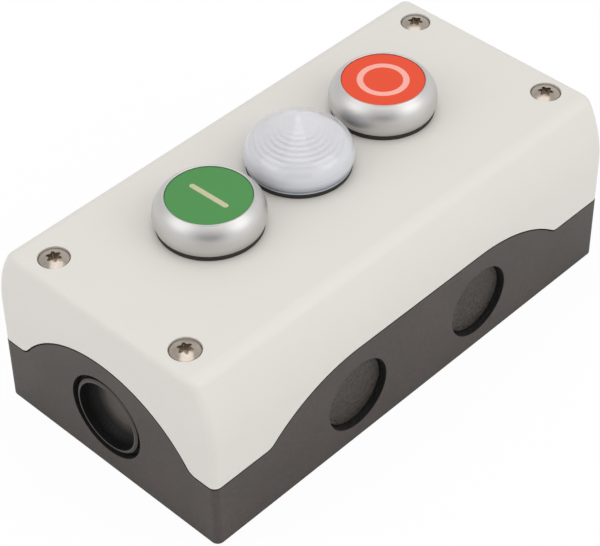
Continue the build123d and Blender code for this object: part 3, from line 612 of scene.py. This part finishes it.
lens_low, lens_high = extent("lamp_lens")
lens_centre = (lens_low + lens_high) / 2 * (1, 1, 0)
lens_radius = (lens_high[0] - lens_low[0]) / 2
lens_belly_z, lens_shoulder, lens_slope, lens_tip = 58.7, 7.5, radians(31.6), 3.0
lens_foot, lens_lip, lens_lip_radius, lens_wall, lens_steps = 14.0, 0.4, 14.3, 1.6, 10
lens_skirt, lens_skirt_z, lens_bore = 13.4, 59.3, 12.9

# clouding and tone change with the height, in millimetres over a base plane
ramp_base, ramp_span = 55.0, 15.0
clouding_levels = (7.6, 1.0), (9.6, 0.6), (11.2, 0.5), (12.8, 0.55), (14.0, 0.74)
clouding_stops = [(at / ramp_span, (level, level, level)) for at, level in clouding_levels]
# painted shade: the tone is darkest and bluest at the foot and lightens upwards
lens_shade_stops = [
    (2.9 / ramp_span, (0.40, 0.43, 0.48)),
    (4.2 / ramp_span, (0.57, 0.58, 0.62)),
    (7.6 / ramp_span, (0.605, 0.61, 0.64)),
    (13.0 / ramp_span, (0.645, 0.64, 0.665)),
]
lens_white = Finish("lens_white", (0.75, 0.75, 0.765), Roughness=0.13, Specular_IOR_Level=0.85)
lens_z = lens_white.coordinates(lens_white.place())[2]
lens_up = (lens_z - ramp_base / 1000.0) * (1000.0 / ramp_span)
clouding = lens_white.node("ShaderNodeValToRGB", {"stops": clouding_stops}, {"Fac": lens_up})
lens_shade_tone = lens_white.node("ShaderNodeValToRGB", {"stops": lens_shade_stops}, {"Fac": lens_up})
# the far wall, seen from inside, is mostly clear, for the light it passes on isn't worked out
far_wall, far_clear = lens_white.node("ShaderNodeNewGeometry", out="Backfacing"), 0.7
lens_white.set(Alpha=clouding * (1 - far_wall * far_clear), Base_Color=lens_shade_tone)
lens_tread = Finish("lens_tread", (0.66, 0.66, 0.69), Roughness=0.15)
# the risers are a darker copy of the treads' milky finish: painted shade in the steps
riser_shade_finish = Finish("riser_shade_finish", (0.54, 0.545, 0.57), Roughness=0.3)

# the outside is a round shoulder, a straight cone and a round tip, each smooth with the next; the
# treads inside lie a wall's thickness under it
shoulder_centre = np.array((lens_radius - lens_shoulder, lens_belly_z))
shoulder_end = shoulder_centre + lens_shoulder * np.array((np.sin(lens_slope), np.cos(lens_slope)))
tip_start = np.array((lens_tip * np.sin(lens_slope), 0.0))
tip_start[1] = shoulder_end[1] + (shoulder_end[0] - tip_start[0]) * np.tan(lens_slope)
tip_top = np.array((0.0, tip_start[1] + lens_tip * (1 - np.cos(lens_slope))))
tread_radius = lens_bore * np.arange(lens_steps, -1, -1) / lens_steps
on_shoulder = np.maximum(tread_radius[:-1], shoulder_end[0]) - shoulder_centre[0]
tread_height = lens_belly_z + np.sqrt(lens_shoulder**2 - on_shoulder**2) - lens_wall
tread_height += np.maximum(shoulder_end[0] - tread_radius[:-1], 0) * np.tan(lens_slope)
treads = np.stack([np.repeat(tread_radius, 2)[1:-1], np.repeat(tread_height, 2)], axis=1)
lens_outline = np.concatenate([
    belly((lens_radius, lens_belly_z), (lens_foot, lens_low[2] + lens_lip), 10)[::-1],
    arc((lens_radius, lens_belly_z), shoulder_centre, shoulder_end, 26)[1:],
    np.linspace(shoulder_end, tip_start, 16)[1:],
    arc(tip_start, tip_top - (0, lens_tip), tip_top, 12)[1:],
    treads[::-1],
    [(lens_bore, lens_skirt_z), (lens_skirt, lens_skirt_z), (lens_skirt, lens_low[2])],
    [(lens_lip_radius, lens_low[2]), (lens_lip_radius, lens_low[2] + lens_lip)],
])
lens_grid = turned(lens_outline, lens_centre)
lens_piece = surface("lamp_lens_cone", lens_grid, lens_white, "root", "lens_white", "lamp_lens")

# faces that look back to the middle of the lens's foot are inside: treads, or risers where upright
lens_mesh = lens_piece.data
lens_mesh.materials.append(lens_tread.material)
lens_mesh.materials.append(riser_shade_finish.material)
face_count = len(lens_mesh.polygons)
face_normal, face_middle = np.empty((face_count, 3)), np.empty((face_count, 3))
lens_mesh.polygons.foreach_get("normal", face_normal.ravel())
lens_mesh.polygons.foreach_get("center", face_middle.ravel())
from_foot = face_middle - (lens_centre + (0, 0, lens_low[2])) / 1000.0
inner_skin = (face_normal * from_foot).sum(axis=1) < 0
upright = np.abs(face_normal[:, 2]) < 0.5
# the upright risers take the darker finish: painted shade
lens_mesh.polygons.foreach_set("material_index", (inner_skin * (1 + upright)).astype(np.int32))


# Collars, lamp body, ring nuts and spring retainers. Black moulded parts that carry the heads: the
# threaded barrel passes the cover, and the notched nut draws the head down from inside.

head_plastic = moulded("head_plastic", (0.035, 0.034, 0.033), 0.4, 0.012, 0.42, drift=0.06)
nut_plastic = moulded("nut_plastic", (0.045, 0.045, 0.045), 0.4, 0.012, 0.45, drift=0.06)
dress(head_plastic, "start_collar", "stop_collar", "lamp_body")
dress(head_plastic, "start_spring_retainer", "stop_spring_retainer")
dress(nut_plastic, "start_ring_nut", "lamp_ring_nut", "stop_ring_nut")


# Sliders. Pale drums moulded in acetal, one under each cap. They slide in the collars on their
# springs, and push the contact elements' plungers.

slider_plastic = moulded("slider_plastic", (0.62, 0.61, 0.58), 0.4, 0.006, 0.36, drift=0.03)
dress(slider_plastic, "start_slider", "stop_slider")


# Springs. Cold-wound steel wire: a return spring under each slider's flange, a small spring under
# each plunger and one over or under each bridge. Their end turns lie flat on their seats.

spring_steel = Finish("spring_steel", (0.58, 0.57, 0.56), Metallic=1.0)
drawn = spring_steel.noise(0.3, 2.0)
spring_steel.set(Roughness=drawn * 0.15 + 0.2)
turn_points, wire_points, flat_turn, wire_play = 40, 13, 0.75, 0.02


def spring_grid(centre, low, high, coil, wire, turns):
    """Grid of a coil spring: a circle of wire carried along a helix with flat end turns.

    The height rises evenly between the end turns, and by one more wire radius over the whole
    length; the wire's circle lies across the helix, and closes to a point at each end.
    """
    share = np.linspace(0.0, 1.0, int(turns * turn_points) + 1)
    angle = 2 * np.pi * turns * share
    climbing = np.clip((share * turns - flat_turn) / (turns - 2 * flat_turn), 0.0, 1.0)
    climb = high - low - 2 * wire
    flat = wire / climb
    lift = low + wire + climb * (flat * share + (1 - flat) * climbing)
    out = np.stack([np.cos(angle), np.sin(angle), 0 * angle], axis=1)
    path = np.array(centre) * (1, 1, 0) + coil * out + lift[:, None] * np.array((0, 0, 1))
    ahead = np.gradient(path, axis=0)
    ahead /= np.linalg.norm(ahead, axis=1, keepdims=True)
    across = np.cross(ahead, out)
    around = np.linspace(0.0, 2 * np.pi, wire_points)[None, :, None]
    ring = np.cos(around) * out[:, None] + np.sin(around) * across[:, None]
    grid = path[:, None] + wire * ring
    ends = [np.repeat(path[i][None, None], wire_points, axis=1) for i in (0, -1)]
    return np.concatenate([ends[0], grid, ends[1]])


# how far a button goes, and how far its plunger comes nearer to the bridge meanwhile: the stop
# bridge leaves its contacts late, so its spring only gets more room
travel = 5.0
for head, squeeze in (("start", 2.8), ("stop", 0.0)):
    # spring, its body, wire radius, turns, joint that presses it, how far, from its foot 0 or head 1
    springs = (
        ("return_spring", "root", 0.45, 5.5, "press", travel, 0),
        ("plunger_spring", "root", 0.2, 6.0, "plunger_slide", travel, 0),
        ("bridge_spring", f"{head}_contact_plunger", 0.2, 5.0, "plunger_slide", squeeze, 1),
    )
    for kind, body, wire, turns, joint, pressed, held_end in springs:
        spring_name = f"{head}_{kind}"
        low, high = extent(spring_name)
        coil = (high[0] - low[0]) / 2 - wire - wire_play
        grid = spring_grid((low + high) / 2, low[2], high[2], coil, wire, turns)
        coiled = surface(f"{spring_name}_coil", grid, spring_steel, body, "spring_steel", spring_name)
        if pressed:
            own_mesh(coiled)


# Contact elements. Grey moulded cases clipped to the case's floor, with stamped copper strips, a
# bridge across them and a coloured plunger; their terminals are steel screws with square clamps.

block_plastic = moulded("block_plastic", (0.28, 0.29, 0.30), 0.4, 0.01, 0.42, drift=0.04)
closing_plunger = moulded("closing_plunger", (0.05, 0.30, 0.10), 0.4, 0.006, 0.36, drift=0.04)
opening_plunger = moulded("opening_plunger", (0.62, 0.05, 0.035), 0.4, 0.006, 0.36, drift=0.04)
contact_copper = Finish("contact_copper", (0.80, 0.52, 0.34), Metallic=1.0)
rolled = contact_copper.noise(2.5, 4.0)
contact_copper.set(
    Base_Color=contact_copper.tint(rolled, (0.70, 0.42, 0.26), (0.86, 0.60, 0.42)),
    Roughness=rolled * 0.2 + 0.18,
)
clamp_steel = Finish("clamp_steel", (0.68, 0.68, 0.66), Metallic=1.0)
zinc = clamp_steel.noise(0.9, 3.0)
clamp_steel.set(Roughness=zinc * 0.2 + 0.25)
clamp_steel.bump(zinc, 0.01)
for head in ("start", "stop"):
    dress(block_plastic, f"{head}_contact_case", f"{head}_contact_lid")
    dress(contact_copper, f"{head}_fixed_contacts", f"{head}_bridge")
    dress(clamp_steel, f"{head}_terminal_clamps", f"{head}_terminal_screws")
dress(closing_plunger, "start_plunger")
dress(opening_plunger, "stop_plunger")


# Lamp element. A grey moulded case like the contacts', clipped to the case's floor under the lens.
# It holds a small board with the light-emitting diode, and two terminals.

dress(block_plastic, "led_case", "led_lid")
dress(contact_copper, "led_terminals")
dress(clamp_steel, "led_terminal_clamps", "led_terminal_screws")
board_green = moulded("board_green", (0.02, 0.17, 0.07), 0.8, 0.01, 0.3, drift=0.15)
led_clear = Finish(
    "led_clear", (0.95, 0.95, 0.92), Roughness=0.05, IOR=1.5, Transmission_Weight=0.85
)
dress(board_green, "led_board")
dress(led_clear, "led_bulb")


# Stage, lights and camera. A pale floor in a white room whose light falls with the height and grows
# to the right, a lamp overhead, a box at each side, a fill that gloss doesn't see, and a dark card in
# front that the metal rings mirror.

def ray(shading, kind):
    """Mask of the rays of a kind: Camera, Transmission or Glossy."""
    return shading.node("ShaderNodeLightPath", out=f"Is {kind} Ray")


def panel(name, middle, side, rise, finish):
    """Flat rectangle that reaches from its middle by side and rise both ways."""
    corners = [middle + side * i + rise * j for i, j in ((-1, -1), (1, -1), (1, 1), (-1, 1))]
    mesh = bpy.data.meshes.new(name)
    mesh.from_pydata([tuple(corner) for corner in corners], [], [(0, 1, 2, 3)])
    mesh.materials.append(finish.material)
    piece = bpy.data.objects.new(name, mesh)
    bpy.context.scene.collection.objects.link(piece)
    return piece


floor_half, floor_drop, floor_white, floor_gloss_white = 3.0, 0.0002, 0.95, 0.1
floor_paint = Finish("floor_paint", (0.86, 0.86, 0.86), Roughness=0.9)
floor_seen = (ray(floor_paint, "Camera") | ray(floor_paint, "Transmission")) * floor_white
floor_mix = floor_paint.node("ShaderNodeMixShader", inputs={
    0: floor_seen | ray(floor_paint, "Glossy") * floor_gloss_white,
    1: Field(floor_paint.tree, floor_paint.shader.outputs[0]),
    2: floor_paint.node("ShaderNodeEmission"),
})
floor_paint.fill(floor_paint.tree.nodes["Material Output"].inputs[0], floor_mix)
floor = panel(
    "floor", Vector((0, 0, 0)), Vector((floor_half, 0, 0)), Vector((0, floor_half, 0)), floor_paint
)
floor.location.z = -floor_drop

# the eye sees the room white; its light is given by a middle level, a slope across and a fall
world = bpy.data.worlds.new("studio")
world.use_nodes = True
bpy.context.scene.world = world
room = Shading(world.node_tree)
room_light, room_slope, room_fall, room_middle = 0.76, 0.08, 0.22, 0.6
sky_x, sky_y, sky_z = room.coordinates(room.node("ShaderNodeTexCoord", out="Generated"))
sky_across = (sky_x - sky_y) * (room_slope * np.sqrt(0.5))
sky_level = sky_across + (room_light + room_fall * room_middle) - sky_z * room_fall
sky_seen = ray(room, "Camera") | ray(room, "Transmission")
background = room.tree.nodes["Background"]
room.fill(background.inputs["Color"], (1.0, 1.0, 1.0))
room.fill(background.inputs["Strength"], sky_seen * (1 - sky_level) + sky_level)


def toward(azimuth, elevation):
    """Direction from the station by azimuth, 0 at -Y and 90 at +X, and elevation, in degrees."""
    a, e = radians(azimuth), radians(elevation)
    return Vector((np.sin(a) * np.cos(e), -np.cos(a) * np.cos(e), np.sin(e)))


def area_light(name, azimuth, elevation, distance, size, power):
    """Rectangular lamp that looks at the middle of the station from an azimuth and elevation."""
    back = toward(azimuth, elevation)
    lamp = bpy.data.lights.new(name, "AREA")
    lamp.shape = "RECTANGLE"
    lamp.size, lamp.size_y = size
    lamp.energy = power
    holder = bpy.data.objects.new(name, lamp)
    holder.location = back * distance + Vector((0, 0, 0.03))
    holder.rotation_mode = "QUATERNION"
    holder.rotation_quaternion = (-back).to_track_quat("-Z", "Y")
    bpy.context.scene.collection.objects.link(holder)
    return holder


area_light("overhead", 134.4, 88, 1.2, (0.75, 1.1), 3.0)
area_light("left_box", -113.6, 38, 0.9, (0.6, 0.6), 1.35)
area_light("right_box", 22.4, 38, 0.9, (0.6, 0.6), 1.5)
fill_light = area_light("fill", -45.6, 25, 1.2, (0.8, 0.8), 0.9)
fill_light.visible_glossy = False

camera_azimuth, camera_elevation, camera_roll = -45.599, 42.796, radians(-0.834)
camera_distance, camera_right, camera_up = 0.587435, -0.003345, 0.013108
level_right = toward(camera_azimuth + 90, 0)

card_width, card_height, card_distance, card_elevation, card_lift = 0.36, 0.17, 0.8, 18, 0.06
card_back, card_side = toward(camera_azimuth, card_elevation), level_right * card_width
card_rise = card_back.cross(card_side).normalized() * card_height
card_middle = card_back * card_distance + Vector((0, 0, card_lift))
card_cloth = Finish("dark_cloth", (0.02, 0.02, 0.02), Roughness=1.0)
dark_card = panel("dark_card", card_middle, card_side, card_rise, card_cloth)
dark_card.visible_camera = dark_card.visible_diffuse = dark_card.visible_shadow = False

back = toward(camera_azimuth, camera_elevation)
level_up = back.cross(level_right)
right = level_right * np.cos(camera_roll) + level_up * np.sin(camera_roll)
up = level_up * np.cos(camera_roll) - level_right * np.sin(camera_roll)
camera_data = bpy.data.cameras.new("camera")
camera_data.sensor_width = 36.0
camera_data.lens = 124.725
camera_data.clip_start = 0.01
camera = bpy.data.objects.new("camera", camera_data)
turn = Matrix((right, up, back)).transposed().to_4x4()
camera_place = right * camera_right + up * camera_up + back * camera_distance
camera.matrix_world = Matrix.Translation(camera_place) @ turn
bpy.context.scene.collection.objects.link(camera)
bpy.context.scene.camera = camera
bpy.context.scene.view_settings.view_transform = "Standard"
